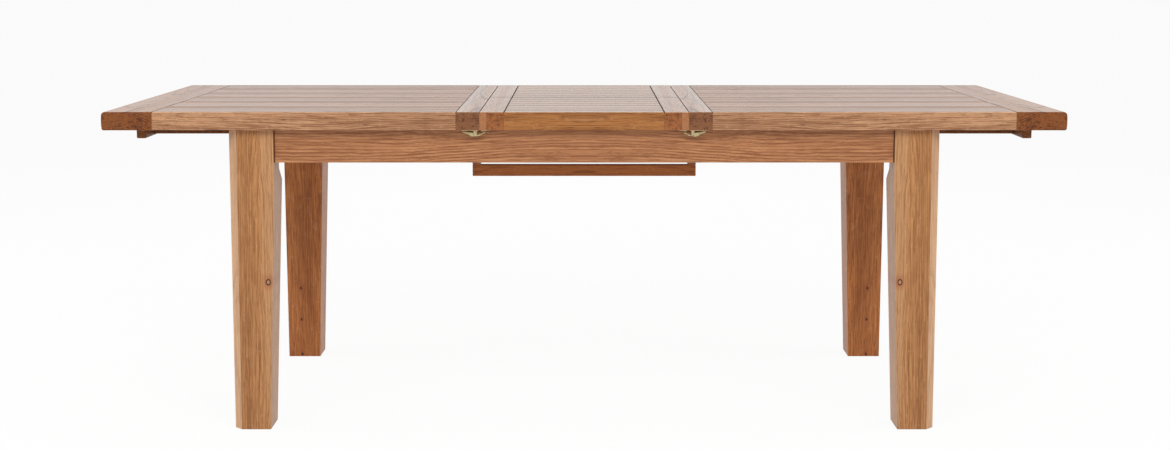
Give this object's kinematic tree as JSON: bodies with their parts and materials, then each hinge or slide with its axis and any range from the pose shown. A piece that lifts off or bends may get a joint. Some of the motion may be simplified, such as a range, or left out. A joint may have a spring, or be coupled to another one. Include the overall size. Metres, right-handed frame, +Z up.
{
  "type": "extending dining table",
  "caption": "Rectangular oak dining table on tapered chamfered legs, with sliding tops, a hinged fold-up centre leaf, brass catches and a cradle beneath that stores the leaf.",
  "frame": {"origin": "on the floor, under the centre of the extended table", "axes": "+X along the table's length, +Y towards its back, +Z up"},
  "size_m": [2.3, 0.9, 0.78],
  "materials": {
    "oak_top": "satin lacquered oak",
    "oak_frame": "satin lacquered oak",
    "oak_inner": "oiled oak",
    "brass": "pressed brass",
    "steel": "zinc plated"
  },
  "bodies": {
    "frame": {"back_apron": "oak_frame", "back_cradle_rail": "oak_inner", "back_guide_rail": "oak_inner", "back_left_leg": "oak_frame", "back_right_leg": "oak_frame", "bolt_nuts": "steel", "bolt_washers": "steel", "corner_blocks": "oak_inner", "front_apron": "oak_frame", "front_cradle_rail": "oak_inner", "front_guide_rail": "oak_inner", "front_left_leg": "oak_frame", "front_right_leg": "oak_frame", "hanger_bolts": "steel", "left_cradle_side": "oak_inner", "left_end_apron": "oak_inner", "right_cradle_side": "oak_inner", "right_end_apron": "oak_inner"},
    "left_top": {"left_back_runner": "oak_inner", "left_batten": "oak_inner", "left_catch_plates": "brass", "left_end_board": "oak_top", "left_front_runner": "oak_inner", "left_inner_board": "oak_top", "left_top_boards": "oak_top"},
    "right_top": {"right_back_runner": "oak_inner", "right_batten": "oak_inner", "right_catch_plates": "brass", "right_end_board": "oak_top", "right_front_runner": "oak_inner", "right_inner_board": "oak_top", "right_top_boards": "oak_top"},
    "leaf_back": {"back_hinge_barrels": "brass", "back_leaf_boards": "oak_top", "back_leaf_keepers": "brass", "back_leaf_left_staves": "oak_top", "back_leaf_right_staves": "oak_top"},
    "leaf_front": {"front_hinge_barrels": "brass", "front_leaf_boards": "oak_top", "front_leaf_keepers": "brass", "front_leaf_left_staves": "oak_top", "front_leaf_right_staves": "oak_top"},
    "back_left_catch_lever": {"back_left_catch_lever": "brass"},
    "back_left_catch_link": {"back_left_catch_link": "brass"},
    "back_right_catch_lever": {"back_right_catch_lever": "brass"},
    "back_right_catch_link": {"back_right_catch_link": "brass"},
    "front_left_catch_lever": {"front_left_catch_lever": "brass"},
    "front_left_catch_link": {"front_left_catch_link": "brass"},
    "front_right_catch_lever": {"front_right_catch_lever": "brass"},
    "front_right_catch_link": {"front_right_catch_link": "brass"}
  },
  "joints": [
    {"name": "left_top_slide", "type": "slide", "parent": "frame", "child": "left_top", "axis": [-1, 0, 0], "range_m": [0, 0.03]},
    {"name": "right_top_slide", "type": "slide", "parent": "frame", "child": "right_top", "axis": [1, 0, 0], "range_m": [0, 0.03]},
    {"name": "leaf_lift", "type": "slide", "parent": "frame", "child": "leaf_back", "axis": [0, 0, 1], "range_m": [0, 0.15]},
    {"name": "leaf_fold", "type": "hinge", "parent": "leaf_back", "child": "leaf_front", "pos_m": [0, 0, 0.7803], "axis": [-1, 0, 0], "range_deg": [0, 180]},
    {"name": "front_left_catch_lever_swing", "type": "hinge", "parent": "left_top", "child": "front_left_catch_lever", "pos_m": [-0.26, -0.436, 0.7255], "axis": [0, -1, 0], "range_deg": [0, 100]},
    {"name": "front_left_catch_link_swing", "type": "hinge", "parent": "front_left_catch_lever", "child": "front_left_catch_link", "pos_m": [-0.265, -0.436, 0.7222], "axis": [0, -1, 0], "range_deg": [-100, 0]},
    {"name": "back_left_catch_lever_swing", "type": "hinge", "parent": "left_top", "child": "back_left_catch_lever", "pos_m": [-0.26, 0.436, 0.7255], "axis": [0, -1, 0], "range_deg": [0, 100]},
    {"name": "back_left_catch_link_swing", "type": "hinge", "parent": "back_left_catch_lever", "child": "back_left_catch_link", "pos_m": [-0.265, 0.436, 0.7222], "axis": [0, -1, 0], "range_deg": [-100, 0]},
    {"name": "front_right_catch_lever_swing", "type": "hinge", "parent": "right_top", "child": "front_right_catch_lever", "pos_m": [0.26, -0.436, 0.7255], "axis": [0, 1, 0], "range_deg": [0, 100]},
    {"name": "front_right_catch_link_swing", "type": "hinge", "parent": "front_right_catch_lever", "child": "front_right_catch_link", "pos_m": [0.265, -0.436, 0.7222], "axis": [0, 1, 0], "range_deg": [-100, 0]},
    {"name": "back_right_catch_lever_swing", "type": "hinge", "parent": "right_top", "child": "back_right_catch_lever", "pos_m": [0.26, 0.436, 0.7255], "axis": [0, 1, 0], "range_deg": [0, 100]},
    {"name": "back_right_catch_link_swing", "type": "hinge", "parent": "back_right_catch_lever", "child": "back_right_catch_link", "pos_m": [0.265, 0.436, 0.7222], "axis": [0, 1, 0], "range_deg": [-100, 0]}
  ],
  "couplings": [
    {"joint": "front_left_catch_link_swing", "follows": "front_left_catch_lever_swing", "ratio": -1},
    {"joint": "back_left_catch_link_swing", "follows": "back_left_catch_lever_swing", "ratio": -1},
    {"joint": "front_right_catch_link_swing", "follows": "front_right_catch_lever_swing", "ratio": -1},
    {"joint": "back_right_catch_link_swing", "follows": "back_right_catch_lever_swing", "ratio": -1}
  ]
}
